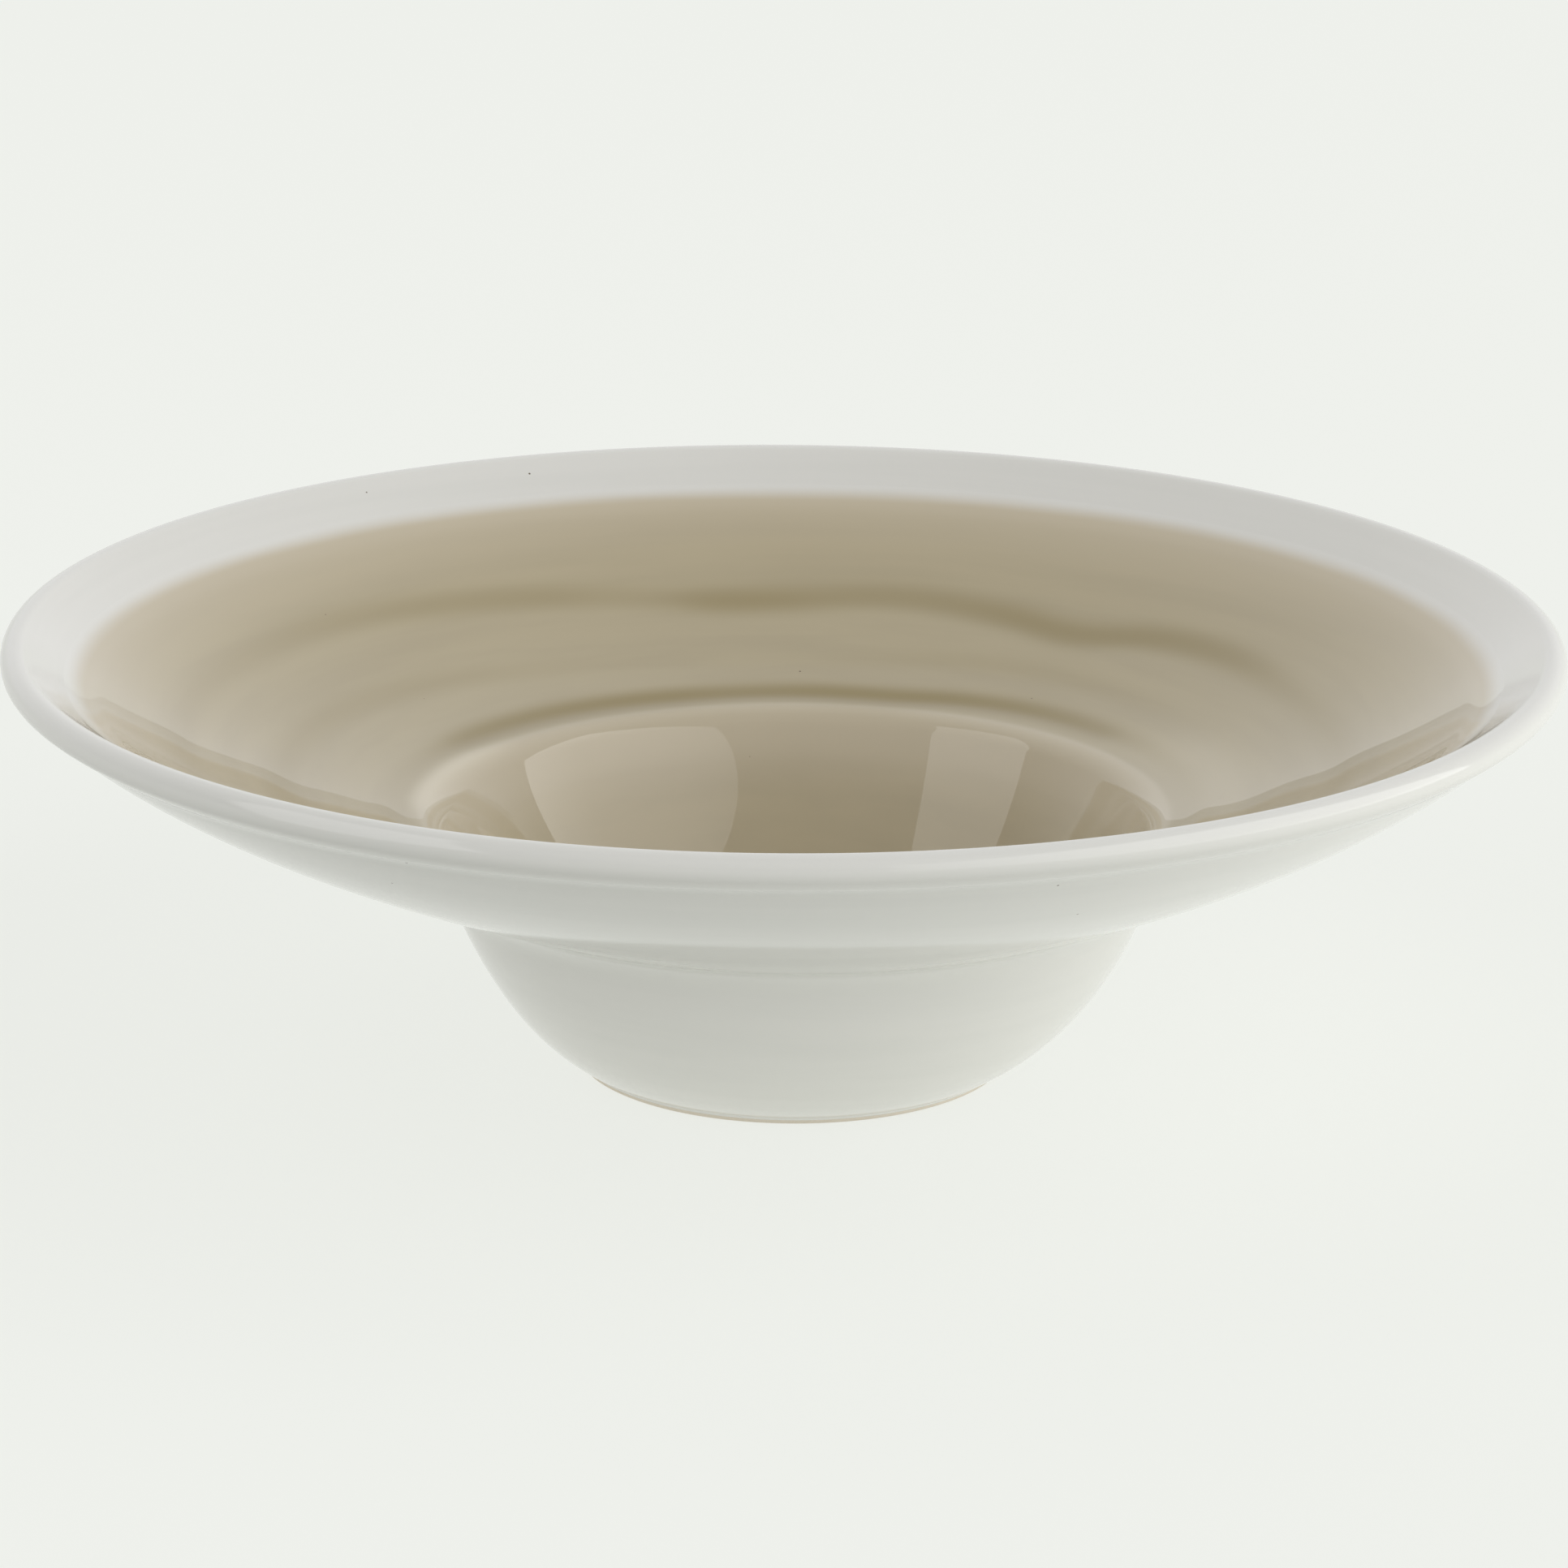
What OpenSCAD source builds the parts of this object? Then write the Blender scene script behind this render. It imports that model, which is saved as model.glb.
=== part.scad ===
// Risotto plate: a deep well in a broad dished rim, thrown in stoneware and turned on a low foot ring.
// The clay carries three coats of glaze: white all over, taupe inside, and white again under the base.
// Every solid is a half profile turned about the Z axis, and the coats are built on the clay's own profile.

/* [Plate] */
// Diameter over the glazed lip
plate_d = 270; // [262:1:280]
// Height from the table to the top of the glazed lip
plate_h = 78; // [75:0.5:81]

/* [Lip] */
// Radius of the rounded clay lip
lip_r = 2.2; // [1.9:0.1:2.4]
// Width of the lip, measured down the slope of the rim
lip_w = 3.5; // [3:0.1:4]
// Thickness of the clay just inside the lip
lip_t = 4.1; // [3.8:0.1:4.6]

/* [Rim] */
// Slope of the upper face at the lip, in degrees
lip_slope = 37.5; // [35:0.5:40]
// Slope of the upper face at the brim of the well, in degrees
brim_slope = 11; // [8:0.5:14]
// Slope of the underside at the lip, in degrees
under_lip_slope = 41; // [38:0.5:43]
// Slope of the underside beside the bowl, in degrees
under_bowl_slope = 22; // [19:0.5:25]
// Slope of the small step from the underside out to the lip, in degrees
lip_step_slope = 24; // [18:1:30]

/* [Well] */
// Diameter of the brim, where the rim turns down into the well
brim_d = 130; // [126:0.5:135]
// Height of the clay at the brim
brim_z = 44.4; // [43.5:0.1:45.5]
// Radius of the rounded shoulder below the brim
shoulder_r = 5; // [4:0.5:8]
// Steepness of the well's wall below the shoulder, in degrees
wall_slope = 59; // [55:1:64]
// Diameter of the flat floor
floor_d = 52; // [46:1:58]
// Height of the clay floor above the table
floor_z = 7.5; // [6.5:0.1:8.5]

/* [Bowl] */
// Diameter where the outside of the bowl meets the rim's underside
neck_d = 125; // [122:0.5:128]
// Height of that meeting
neck_z = 35.4; // [34:0.1:36]
// Reach of the hollow curve between the bowl and the rim
neck_round = 5.2; // [4:0.1:6.5]
// Steepness of the bowl below the rim, in degrees
bowl_top_slope = 69; // [65:1:72]
// Slope of the bowl where it leaves the foot, in degrees
bowl_foot_slope = 29; // [24:1:34]

/* [Foot] */
// Diameter of the foot ring
foot_d = 76; // [72:0.5:80]
// Height of the foot ring
foot_h = 2; // [1.9:0.1:2.6]
// Width of the foot ring
foot_w = 4.8; // [3.8:0.1:6]
// Rounding of the foot ring's edges
foot_edge = 0.8; // [0.5:0.1:0.9]
// Rounding where the foot ring meets the bowl
foot_crease = 0.9; // [0.6:0.1:1]
// Depth of the recess inside the foot ring
recess_h = 2; // [1.7:0.1:2.4]
// Rounding between the recess and the foot ring
recess_cove = 1; // [0.6:0.1:1.2]

/* [Throwing rings] */
// Radius of the clear ring round the middle of the rim
middle_ring_r = 100; // [94:1:106]
// Half width of the middle ring
middle_ring_w = 4.6; // [3.5:0.1:5.5]
// Depth of the middle ring in the clay
middle_ring_depth = 0.6; // [0.1:0.05:0.8]
// Radius of the faint ring nearer the well
faint_ring_r = 84; // [80:1:87]
// Half width of the faint ring
faint_ring_w = 4.7; // [3.5:0.1:6]
// Depth of the faint ring in the clay
faint_ring_depth = 0.3; // [0.1:0.05:0.5]
// Radius of the ring beside the brim of the well
brim_ring_r = 69; // [68:0.5:71]
// Half width of the ring beside the brim
brim_ring_w = 2.7; // [2.2:0.1:3.2]
// Depth of the ring beside the brim in the clay
brim_ring_depth = 0.7; // [0.1:0.05:0.9]

/* [Glaze] */
// Thickness of the white coat
white_t = 0.4; // [0.3:0.05:0.5]
// Thickness of the taupe coat away from the rings
taupe_t = 0.5; // [0.3:0.05:0.7]
// Width of the white band between the lip and the edge of the taupe, down the slope
band_w = 8.3; // [6:0.1:14]
// Distance over which the taupe coat builds up from its edge
feather_w = 6; // [3:0.5:10]
// Share of a throwing ring's depth that the taupe fills
pooling = 0.5; // [0.2:0.05:0.8]
// Thickness of the white coat under the base
base_t = 0.4; // [0.3:0.05:0.5]

/* [Hidden] */

$fn = 180;
clay_colour = [0.80, 0.73, 0.62];
white_colour = [0.90, 0.90, 0.87];
taupe_colour = [0.66, 0.60, 0.50];

// Steps along each stretch of the profile
rim_steps = 42;
under_steps = 16;
bowl_steps = 14;
wall_steps = 16;
round_steps = 8;
lip_steps = 5;
edge_steps = 3;

// Finest step of a raised point's place
finest = 0.001;

// Length of a curve's handles as a share of its chord: gentle and round curves
gentle = 0.33;
rounded = 0.36;

// Radius, half width and depth of each throwing ring
rings = [
    [middle_ring_r, middle_ring_w, middle_ring_depth],
    [faint_ring_r, faint_ring_w, faint_ring_depth],
    [brim_ring_r, brim_ring_w, brim_ring_depth]
];

function heading(a) = [cos(a), sin(a)];
function backwards(path) = [for (i = [len(path) - 1:-1:0]) path[i]];

// Points of a smooth curve that leaves p at angle a and arrives at q at angle b. The first is left out.
function curve(p, a, q, b, steps, handle) =
    let (reach = norm(q - p) * handle, leave = p + reach * heading(a), arrive = q - reach * heading(b))
    [for (i = [1:steps])
        let (t = i / steps, s = 1 - t)
        s^3 * p + 3 * s^2 * t * leave + 3 * s * t^2 * arrive + t^3 * q];

// Points of an arc about a centre, from angle a to angle b. The first is left out.
function arc(centre, r, a, b, steps) =
    [for (i = [1:steps]) centre + r * heading(a + (b - a) * i / steps)];

// Unit vector out of the clay at point i of a path that has the clay on its left
function out_of(path, i) =
    let (d = path[min(i + 1, len(path) - 1)] - path[max(i - 1, 0)])
    [d.y, -d.x] / norm(d);

// A point rounded to the finest step, so that a level stretch stays exactly level
function settled(p) = [for (c = p) round(c / finest) * finest];

// A path moved out of the clay by a thickness given for each of its points
function raised(path, t) = [for (i = [0:len(path) - 1]) settled(path[i] + t[i] * out_of(path, i))];

// Outline of a coat that lies on a path and thins to nothing at the path's first point
function coat(path, t) = let (top = raised(path, t)) concat(path, [for (i = [len(top) - 1:-1:1]) top[i]]);

// Depth of the throwing rings at a radius
function ring_cut(r, i = 0) =
    i == len(rings) ? 0 : rings[i][2] * exp(-((r - rings[i][0]) / rings[i][1])^2) + ring_cut(r, i + 1);

// Build-up of the taupe from 0 at its edge to 1
function feather(r) = let (u = min(max((band_end.x - r) / feather_w, 0), 1)) u * u * (3 - 2 * u);

// Lip: a rounded edge that runs straight into the slope of the rim's upper face
lip_centre = [plate_d / 2 - white_t - lip_r, plate_h - white_t - lip_r];
lip_inner_angle = 90 + lip_slope;
lip_outer_angle = under_lip_slope - 90;
lip_start = lip_centre + lip_r * heading(lip_outer_angle);
lip_end = lip_centre + lip_r * heading(lip_inner_angle);
down_rim = heading(180 + lip_slope);
into_rim = heading(lip_slope - 90);
under_end = lip_end + lip_w * down_rim + lip_t * into_rim;
band_end = lip_end + band_w * down_rim;

// Foot ring and the hollow curve between the bowl and the rim
foot_r = foot_d / 2;
foot_top = [foot_r, foot_h - foot_crease];
bowl_start = [foot_r + foot_crease, foot_h];
neck = [neck_d / 2, neck_z];
bowl_end = neck - neck_round * heading(bowl_top_slope);
under_start = neck + neck_round * heading(under_bowl_slope);
recess_r = foot_r - foot_w;

// Outside of the clay that takes glaze: foot ring, bowl, rim's underside and lip
outside = concat(
    [[foot_r, foot_edge], foot_top],
    curve(foot_top, 90, bowl_start, bowl_foot_slope, edge_steps, rounded),
    curve(bowl_start, bowl_foot_slope, bowl_end, bowl_top_slope, bowl_steps, gentle),
    curve(bowl_end, bowl_top_slope, under_start, under_bowl_slope, round_steps, gentle),
    curve(under_start, under_bowl_slope, under_end, under_lip_slope, under_steps, gentle),
    curve(under_end, lip_step_slope, lip_start, under_lip_slope, edge_steps, gentle),
    arc(lip_centre, lip_r, lip_outer_angle, 0, lip_steps),
    arc(lip_centre, lip_r, 0, 90, lip_steps),
    arc(lip_centre, lip_r, 90, lip_inner_angle, edge_steps),
    [band_end]
);

// Inside of the clay from the edge of the taupe to the middle of the floor, before the throwing rings
brim = [brim_d / 2, brim_z];
shoulder_centre = brim + shoulder_r * heading(brim_slope - 90);
wall_start = shoulder_centre + shoulder_r * heading(90 + wall_slope);
floor_edge = [floor_d / 2, floor_z];
smooth_inside = concat(
    curve(band_end, 180 + lip_slope, brim, 180 + brim_slope, rim_steps, gentle),
    arc(shoulder_centre, shoulder_r, 90 + brim_slope, 90 + wall_slope, round_steps),
    curve(wall_start, 180 + wall_slope, floor_edge, 180, wall_steps, rounded),
    [[0, floor_z]]
);
inside = raised(smooth_inside, [for (p = smooth_inside) -ring_cut(p.x)]);

// The whole glazed face of the clay, and the same face with the white coat on it
glazed = concat(outside, inside);
white_build = [for (p = glazed) white_t];
whitened = raised(glazed, white_build);

// The stretch of the white coat that takes the taupe, and how thick the taupe lies along it
taupe_bed = [for (i = [len(outside) - 1:len(whitened) - 1]) whitened[i]];
taupe_build = [for (p = taupe_bed) taupe_t * feather(p.x) + pooling * ring_cut(p.x)];

// Ceiling of the foot recess, from its glaze line to the middle
recess_line = [recess_r, recess_h - recess_cove];
recess_top = [recess_r - recess_cove, recess_h];
recess = concat(
    [recess_line],
    curve(recess_line, 90, recess_top, 180, edge_steps, rounded),
    [[0, recess_h]]
);

// Bare edges of the foot ring, either side of the face that stands on the table
foot_inner = [recess_r + foot_edge, 0];
foot_outer = [foot_r - foot_edge, 0];
foot_face = concat(
    curve(recess_line, 270, foot_inner, 0, edge_steps, rounded),
    [foot_outer],
    curve(foot_outer, 0, outside[0], 90, edge_steps, rounded)
);
clay_outline = concat(foot_face, [for (i = [1:len(glazed) - 1]) glazed[i]], backwards(recess));

module turned(outline) {
    rotate_extrude() polygon(outline);
}

// The thrown and turned stoneware form
module clay_body() {
    color(clay_colour) turned(clay_outline);
}

// White coat from the foot ring over the outside and the lip to the middle of the well
module white_glaze() {
    color(white_colour) turned(coat(glazed, white_build));
}

// Taupe coat over the white, thickest where it pools in the throwing rings
module taupe_glaze() {
    color(taupe_colour) turned(coat(taupe_bed, taupe_build));
}

// White coat on the ceiling of the recess, which faces down
module base_glaze() {
    color(white_colour) turned(coat(recess, [for (p = recess) -base_t]));
}

clay_body();
white_glaze();
taupe_glaze();
base_glaze();
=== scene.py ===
# %% [markdown]
# # A risotto plate
#
# The object is a deep stoneware plate: a broad dished rim with a rounded lip, a deep well, and a low
# foot ring. It was thrown on a wheel, dipped in white glaze, and coated inside with a taupe glaze that
# gathers in the rings that the potter's fingers left.
#
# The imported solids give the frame: where the plate stands, how wide it is and how high. Everything below
# is built around that frame, in metres, and the frame itself is never moved.

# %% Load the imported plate
import math

import bpy
import numpy as np
from mathutils import Matrix, Quaternion, Vector


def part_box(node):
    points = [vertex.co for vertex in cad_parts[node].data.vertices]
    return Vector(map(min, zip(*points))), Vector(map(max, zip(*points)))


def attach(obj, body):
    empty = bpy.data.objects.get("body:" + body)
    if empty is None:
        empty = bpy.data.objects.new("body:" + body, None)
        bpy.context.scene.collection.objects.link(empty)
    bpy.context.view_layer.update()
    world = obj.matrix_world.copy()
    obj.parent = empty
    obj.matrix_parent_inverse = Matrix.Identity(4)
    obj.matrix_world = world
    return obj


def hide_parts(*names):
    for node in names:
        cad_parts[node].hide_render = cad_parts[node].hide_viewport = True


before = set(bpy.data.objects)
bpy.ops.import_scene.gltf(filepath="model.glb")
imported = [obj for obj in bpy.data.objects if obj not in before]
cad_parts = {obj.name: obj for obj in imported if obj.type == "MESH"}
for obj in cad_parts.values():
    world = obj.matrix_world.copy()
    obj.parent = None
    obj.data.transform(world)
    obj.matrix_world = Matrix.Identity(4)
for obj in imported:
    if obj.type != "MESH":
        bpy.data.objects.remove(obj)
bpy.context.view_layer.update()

MM = 0.001
scene = bpy.context.scene
print("solids:", ", ".join(sorted(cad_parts)))

# %% [markdown]
# ## The camera
#
# The photograph was taken with a long lens from a little above the rim. The camera could be moved by eye
# until the picture fits, but the lip, the foot and the rings are circles, and the shapes of their
# ellipses give the height of the view, the distance and the lens as numbers. The camera looks at a point
# on the plate's axis, rolls by a third of a degree, and then dips, so that the plate sits above the
# middle of the frame as it does in the photograph.

# %% Set the camera
photo_side_px = 1932
focal_length_px = 7810
aim_pixel_y = 826
aim_point = Vector((0, 0, 70 * MM))
view_distance = 1.100
view_rise = math.radians(15.7)
view_roll = math.radians(0.34)

towards_viewer = Vector((0, -math.cos(view_rise), math.sin(view_rise)))
dip = math.atan((photo_side_px / 2 - aim_pixel_y) / focal_length_px)
camera_data = bpy.data.cameras.new("camera")
camera_data.lens = camera_data.sensor_width * focal_length_px / photo_side_px
camera = bpy.data.objects.new("camera", camera_data)
scene.collection.objects.link(camera)
looking = (-towards_viewer).to_track_quat("-Z", "Y").to_matrix().to_4x4()
camera.matrix_world = (
    Matrix.Translation(aim_point + view_distance * towards_viewer)
    @ looking
    @ Matrix.Rotation(view_roll, 4, "Z")
    @ Matrix.Rotation(-dip, 4, "X")
)
scene.camera = camera
print(f"lens {camera_data.lens:.1f} mm, dip {math.degrees(dip):.2f} degrees")

# %% [markdown]
# ## The profile
#
# A thrown plate is one profile turned about an axis, so the profile is where the shape is decided. It
# could be drawn by hand as a Bezier curve, but numbers are easier to check against the solids: here are
# the same dimensions and the same few curves and arcs that the solids have, only with more points along
# them, so that reflections run smoothly. A point is (radius, height). A slope is in degrees from the
# radius, anticlockwise: 0 runs outward, 90 up, 180 inward and 270 down.

# %% Helpers that draw a profile
GENTLE = 0.33
ROUNDED = 0.36
OUTWARD = 0
UP = 90
INWARD = 180
DOWN = 270
QUARTER = 90
HALF = 180


def heading(degrees):
    """Unit vector at an angle from the radius, anticlockwise."""
    angle = math.radians(degrees)
    return np.array([math.cos(angle), math.sin(angle)])


def curve(start, leaves_at, end, arrives_at, steps, handle=GENTLE):
    """Points of a cubic Bezier curve with a slope given at each end. The first is left out."""
    reach = np.linalg.norm(end - start) * handle
    leave = start + reach * heading(leaves_at)
    arrive = end - reach * heading(arrives_at)
    t = np.linspace(0, 1, steps + 1)[1:, None]
    s = 1 - t
    return s**3 * start + 3 * s**2 * t * leave + 3 * s * t**2 * arrive + t**3 * end


def arc(centre, radius, first, last, steps):
    """Points of an arc about a centre. The first is left out."""
    angles = np.linspace(first, last, steps + 1)[1:]
    return np.array([centre + radius * heading(angle) for angle in angles])


quarter_circle = arc(np.zeros(2), 1, OUTWARD, UP, steps=2)
print("a quarter circle in two steps:", quarter_circle.round(2).tolist())

# %% [markdown]
# ### Outside of the clay
#
# From the foot ring the bowl swells up to the neck, a hollow where it meets the underside of the rim.
# The rim rises to a rounded lip, with a small step below it. Lip and foot are set out first, because
# the photograph shows them best, and the long curves of bowl and rim are then hung between them.

# %% Lip
white_low, white_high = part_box("white_glaze")
plate_r = min(-white_low.x, white_high.x, -white_low.y, white_high.y)
plate_h = white_high.z
white_t = 0.4 * MM
lip_r = 2.2 * MM
lip_w = 3.5 * MM
lip_t = 4.1 * MM
lip_slope = 37.5
lip_step_slope = 24
under_lip_slope = 41
band_w = 8.3 * MM

lip_centre = np.array([plate_r - white_t - lip_r, plate_h - white_t - lip_r])
lip_start = lip_centre + lip_r * heading(under_lip_slope - QUARTER)
lip_end = lip_centre + lip_r * heading(lip_slope + QUARTER)
down_rim = heading(lip_slope + HALF)
under_end = lip_end + lip_w * down_rim + lip_t * heading(lip_slope - QUARTER)
band_end = lip_end + band_w * down_rim
print(f"lip {2 * lip_r / MM:.1f} mm round, taupe from radius {band_end[0] / MM:.1f} mm inwards")

# %% Foot, bowl and neck
foot_r = 38 * MM
foot_h = 2 * MM
foot_edge = 0.8 * MM
foot_crease = 0.9 * MM
bowl_foot_slope = 29
bowl_top_slope = 69
under_bowl_slope = 22
neck_round = 5.2 * MM

foot_line = np.array([foot_r, foot_edge])
foot_top = np.array([foot_r, foot_h - foot_crease])
bowl_start = np.array([foot_r + foot_crease, foot_h])
neck = np.array([62.5 * MM, 35.4 * MM])
bowl_end = neck - neck_round * heading(bowl_top_slope)
under_start = neck + neck_round * heading(under_bowl_slope)
print(f"foot {2 * foot_r / MM:.0f} mm across, neck {neck[1] / MM:.1f} mm above the table")

# %% The outside as one path
outside = np.vstack([
    [foot_line, foot_top],
    curve(foot_top, UP, bowl_start, bowl_foot_slope, steps=5, handle=ROUNDED),
    curve(bowl_start, bowl_foot_slope, bowl_end, bowl_top_slope, steps=36),
    curve(bowl_end, bowl_top_slope, under_start, under_bowl_slope, steps=16),
    curve(under_start, under_bowl_slope, under_end, under_lip_slope, steps=36),
    curve(under_end, lip_step_slope, lip_start, under_lip_slope, steps=8),
    arc(lip_centre, lip_r, under_lip_slope - QUARTER, OUTWARD, steps=8),
    arc(lip_centre, lip_r, OUTWARD, UP, steps=12),
    arc(lip_centre, lip_r, UP, lip_slope + QUARTER, steps=6),
    curve(lip_end, lip_slope + HALF, band_end, lip_slope + HALF, steps=6),
])
print(f"outside: {len(outside)} points, lip at radius {outside[:, 0].max() / MM:.1f} mm")

# %% [markdown]
# ### Inside of the clay
#
# From the edge of the taupe the dished rim runs down to the brim, rounds over the shoulder into the well
# and ends in the middle of its floor. The dish carries the throwing rings, so it gets the most points.

# %% The inside as one path
brim_slope = 11
wall_slope = 59
shoulder_r = 5 * MM
floor_z = 7.5 * MM

brim = np.array([65 * MM, 44.4 * MM])
shoulder_centre = brim + shoulder_r * heading(brim_slope - QUARTER)
wall_start = shoulder_centre + shoulder_r * heading(wall_slope + QUARTER)
floor_edge = np.array([26 * MM, floor_z])
floor_centre = np.array([0, floor_z])

inside = np.vstack([
    curve(band_end, lip_slope + HALF, brim, brim_slope + HALF, steps=110),
    arc(shoulder_centre, shoulder_r, brim_slope + QUARTER, wall_slope + QUARTER, steps=16),
    curve(wall_start, wall_slope + HALF, floor_edge, INWARD, steps=34, handle=ROUNDED),
    curve(floor_edge, INWARD, floor_centre, INWARD, steps=5),
])
print(f"inside: {len(inside)} points, well {(brim[1] - floor_z) / MM:.1f} mm deep")

# %% [markdown]
# ## The coats
#
# The white coat lies on the clay everywhere that was dipped, and the taupe lies on the white, thinning
# to nothing below the lip. A coat could be a colour painted on the clay, but each is a thin closed solid
# in the frame, so each gets a mesh of its own: a face on what it covers and a face that shows, the
# covered face moved out by the thickness of the coat.

# %% Faces of the coats
taupe_t = 0.5 * MM
feather_w = 6 * MM


def raised(path, thickness):
    """A path moved out of the clay, which lies on its left, by a thickness for each point."""
    ahead = np.vstack([path[1:], path[-1:]])
    behind = np.vstack([path[:1], path[:-1]])
    along = ahead - behind
    outward = np.column_stack([along[:, 1], -along[:, 0]])
    outward /= np.linalg.norm(outward, axis=1)[:, None]
    return path + np.reshape(thickness, (-1, 1)) * outward


def smooth_step(value):
    """0 below 0, 1 above 1, and a soft S between."""
    share = np.clip(value, 0, 1)
    return share * share * (3 - 2 * share)


glazed = np.vstack([outside, inside])
whitened = raised(glazed, np.full(len(glazed), white_t))
whitened[-1, 0] = 0
taupe_bed = whitened[len(outside) - 1:]
feather = smooth_step((band_end[0] - taupe_bed[:, 0]) / feather_w)
taupe_top = raised(taupe_bed, taupe_t * feather)
taupe_top[-1, 0] = 0
print(f"white {white_t / MM:.1f} mm, taupe {taupe_t / MM:.1f} mm, feathered over {feather_w / MM:.0f} mm")

# %% [markdown]
# The foot ring is wiped bare, so that the plate doesn't stick to the shelf of the kiln. The glaze inside
# its recess is an island, and the clay shows on the face between the recess and the white coat.

# %% The recess and the face of the foot ring
base_t = 0.4 * MM
recess_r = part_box("base_glaze")[1].x
recess_h = 2 * MM
recess_cove = 1 * MM

recess_line = np.array([recess_r, recess_h - recess_cove])
recess_top = np.array([recess_r - recess_cove, recess_h])
recess = np.vstack([
    [recess_line],
    curve(recess_line, UP, recess_top, INWARD, steps=5, handle=ROUNDED),
    [[0, recess_h]],
])
recess_glaze = raised(recess, np.full(len(recess), -base_t))
recess_glaze[-1, 0] = 0

foot_inner = np.array([recess_r + foot_edge, 0])
foot_outer = np.array([foot_r - foot_edge, 0])
foot_face = np.vstack([
    curve(recess_line, DOWN, foot_inner, OUTWARD, steps=5, handle=ROUNDED),
    [foot_outer],
    curve(foot_outer, OUTWARD, foot_line, UP, steps=5, handle=ROUNDED),
])
print(f"foot ring {(foot_r - recess_r) / MM:.1f} mm wide")

# %% [markdown]
# ### One chain for each piece
#
# The two faces of a coat are drawn as one chain of points that starts on the axis, runs out along the
# covered face and comes back along the face that shows. A chain like that needs no edge on the axis, and
# its turned shape closes by itself. The clay and the white meet where nobody looks, so that face keeps
# only every second point.
#
# Every point also says how deep the throwing rings go there: not at all on the outside, fully in the
# clay and the white, and half on top of the taupe, which fills them by the other half.

# %% Chains of points for the four pieces
pooling = 0.5
kept_every = 2

glazed_share = np.concatenate([np.zeros(len(outside)), np.ones(len(inside))])
bed_share = glazed_share[len(outside) - 1:]
top_share = (1 - pooling) * bed_share
kept = np.unique(np.append(np.arange(0, len(glazed), kept_every), len(glazed) - 1))
thinned = glazed[kept]
thinned_share = glazed_share[kept]


def chain_of(*stretches):
    """Joins stretches of (points, ring share) into one chain."""
    points = np.vstack([stretch for stretch, share in stretches])
    shares = [np.broadcast_to(share, len(stretch)) for stretch, share in stretches]
    return points, np.concatenate(shares)


chains = {
    "stoneware_body": chain_of((recess[::-1], 0), (foot_face, 0), (thinned[1:], thinned_share[1:])),
    "white_coat": chain_of((thinned[::-1], thinned_share[::-1]), (whitened[1:], glazed_share[1:])),
    "taupe_coat": chain_of((taupe_bed[::-1], bed_share[::-1]), (taupe_top[1:], top_share[1:])),
    "base_coat": chain_of((recess_glaze[:0:-1], 0), (recess, 0)),
}
print({name: len(points) for name, (points, shares) in chains.items()})

# %% [markdown]
# ## Turning the profile
#
# Blender's Screw modifier can turn a profile, but the throwing rings on this plate aren't true circles:
# they wander, fade and come back as the potter's finger moved. So the turning is done in Geometry Nodes.
# A grid has one row for each point of the profile and one column for each step of the turn. Each grid
# point looks up its profile point, moves out to that radius at its angle, and sinks by the depth of the
# rings there. The same tree makes all four pieces, so the coats stay face to face with the clay.
#
# A tree built in a script is many nodes and links, so a few short helpers come first.

# %% Helpers that build node trees
def add_node(tree, kind, **settings):
    """A new node with its properties set."""
    node = tree.nodes.new(kind)
    for name, value in settings.items():
        setattr(node, name, value)
    return node


def feed(tree, socket, value):
    """Links a socket to an input, or sets the input to a plain value."""
    if isinstance(value, bpy.types.NodeSocket):
        tree.links.new(value, socket)
    else:
        socket.default_value = value


def calc(tree, operation, *values, clamp=False):
    """A Math node. Returns its output."""
    node = add_node(tree, "ShaderNodeMath", operation=operation, use_clamp=clamp)
    for socket, value in zip(node.inputs, values):
        feed(tree, socket, value)
    return node.outputs[0]


def add_sockets(tree, direction, sockets):
    """Named sockets of a tree, from pairs of name and kind."""
    for name, kind in sockets:
        tree.interface.new_socket(name, in_out=direction, socket_type="NodeSocket" + kind)


def bell(tree, away, half_width):
    """1 in the middle, falling softly to nothing at about two half widths away. Returns the output."""
    widths = calc(tree, "DIVIDE", away, half_width)
    squared = calc(tree, "MULTIPLY", widths, widths)
    return calc(tree, "EXPONENT", calc(tree, "MULTIPLY", squared, -1))


print("node helpers:", ", ".join(helper.__name__ for helper in (add_node, feed, calc, add_sockets, bell)))
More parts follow.
